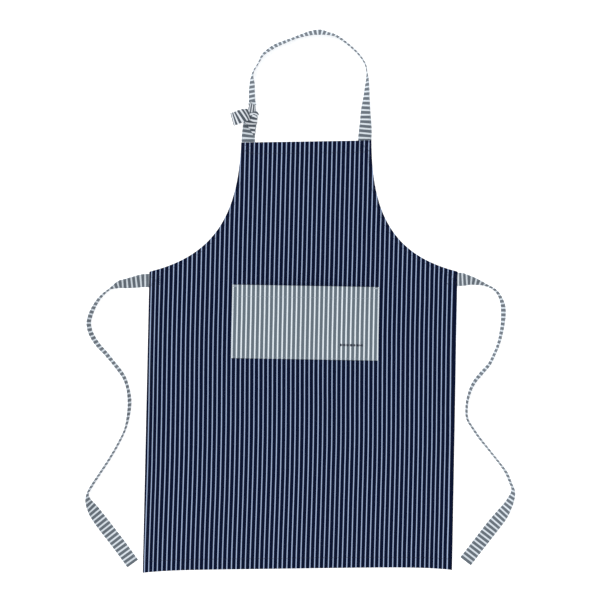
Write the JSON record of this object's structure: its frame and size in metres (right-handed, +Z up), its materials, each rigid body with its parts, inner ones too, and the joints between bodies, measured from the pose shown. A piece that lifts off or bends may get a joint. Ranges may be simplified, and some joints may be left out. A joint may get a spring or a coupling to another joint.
{
  "type": "butcher apron",
  "caption": "Striped cotton bib apron lying face up, with a patch pocket, two waist ties and a neck strap joined by a knot.",
  "frame": {"origin": "middle of the footprint of the cloth and neck loop, without the two waist ties, on the surface that the apron lies on", "axes": "+Z up, out of the apron's front face; +Y from the hem towards the neck; +X to the right of the apron as it is seen from above"},
  "size_m": [0.8962, 1.1392, 0.028],
  "materials": {
    "apron_cloth": "matt cotton drill, navy with narrow pale blue stripes about 9.6 mm apart",
    "pocket_cloth": "matt grey-blue chambray with white stripes about 9.6 mm apart",
    "tape": "the pocket cloth cut across its stripes, folded and sewn flat into a tape",
    "navy_thread": "navy sewing thread",
    "pale_thread": "pale grey-blue sewing thread"
  },
  "bodies": {
    "skirt": {"skirt_panel": "apron_cloth", "bottom_hem": "apron_cloth", "side_hem_left": "apron_cloth", "side_hem_right": "apron_cloth", "bottom_hem_stitching": "navy_thread", "side_hem_stitching_left": "navy_thread", "side_hem_stitching_right": "navy_thread", "tie_left_sewn_end": "tape", "tie_left_tack": "navy_thread", "tie_right_sewn_end": "tape", "tie_right_tack": "navy_thread", "pocket_panel": "pocket_cloth", "pocket_top_hem": "pocket_cloth", "pocket_edge_turning": "pocket_cloth", "pocket_stitching": "pale_thread", "pocket_hem_stitching": "pale_thread", "pocket_mouth_tack_left": "pale_thread", "pocket_mouth_tack_right": "pale_thread", "pocket_mark": "navy_thread"},
    "bib": {"bib_panel": "apron_cloth", "bib_top_hem": "apron_cloth", "bib_top_stitching": "navy_thread", "armhole_hem_left": "apron_cloth", "armhole_hem_right": "apron_cloth", "armhole_stitching_left": "navy_thread", "armhole_stitching_right": "navy_thread", "neck_long_sewn_end": "tape", "neck_long_tack": "navy_thread", "neck_short_sewn_end": "tape", "neck_short_tack": "navy_thread"},
    "neck_loop": {"neck_strap_long": "tape", "neck_strap_short": "tape", "neck_tail": "tape", "neck_flap": "tape", "neck_knot": "tape"},
    "left_tie": {"tie_left": "tape"},
    "right_tie": {"tie_right": "tape"}
  },
  "joints": [
    {"name": "bib_fold", "type": "hinge", "parent": "skirt", "child": "bib", "pos_m": [0.0063, 0.0615, 0.0019], "axis": [1, 0, 0], "range_deg": [0, 120]},
    {"name": "neck_loop_fold", "type": "hinge", "parent": "bib", "child": "neck_loop", "pos_m": [0.0118, 0.3345, 0.0019], "axis": [1, 0, 0], "range_deg": [0, 120]},
    {"name": "left_tie_fold", "type": "hinge", "parent": "skirt", "child": "left_tie", "pos_m": [-0.3176, 0.043, 0.0019], "axis": [0, 1, 0], "range_deg": [0, 120]},
    {"name": "right_tie_fold", "type": "hinge", "parent": "skirt", "child": "right_tie", "pos_m": [0.3295, 0.0455, 0.0019], "axis": [0, -1, 0], "range_deg": [0, 120]}
  ]
}
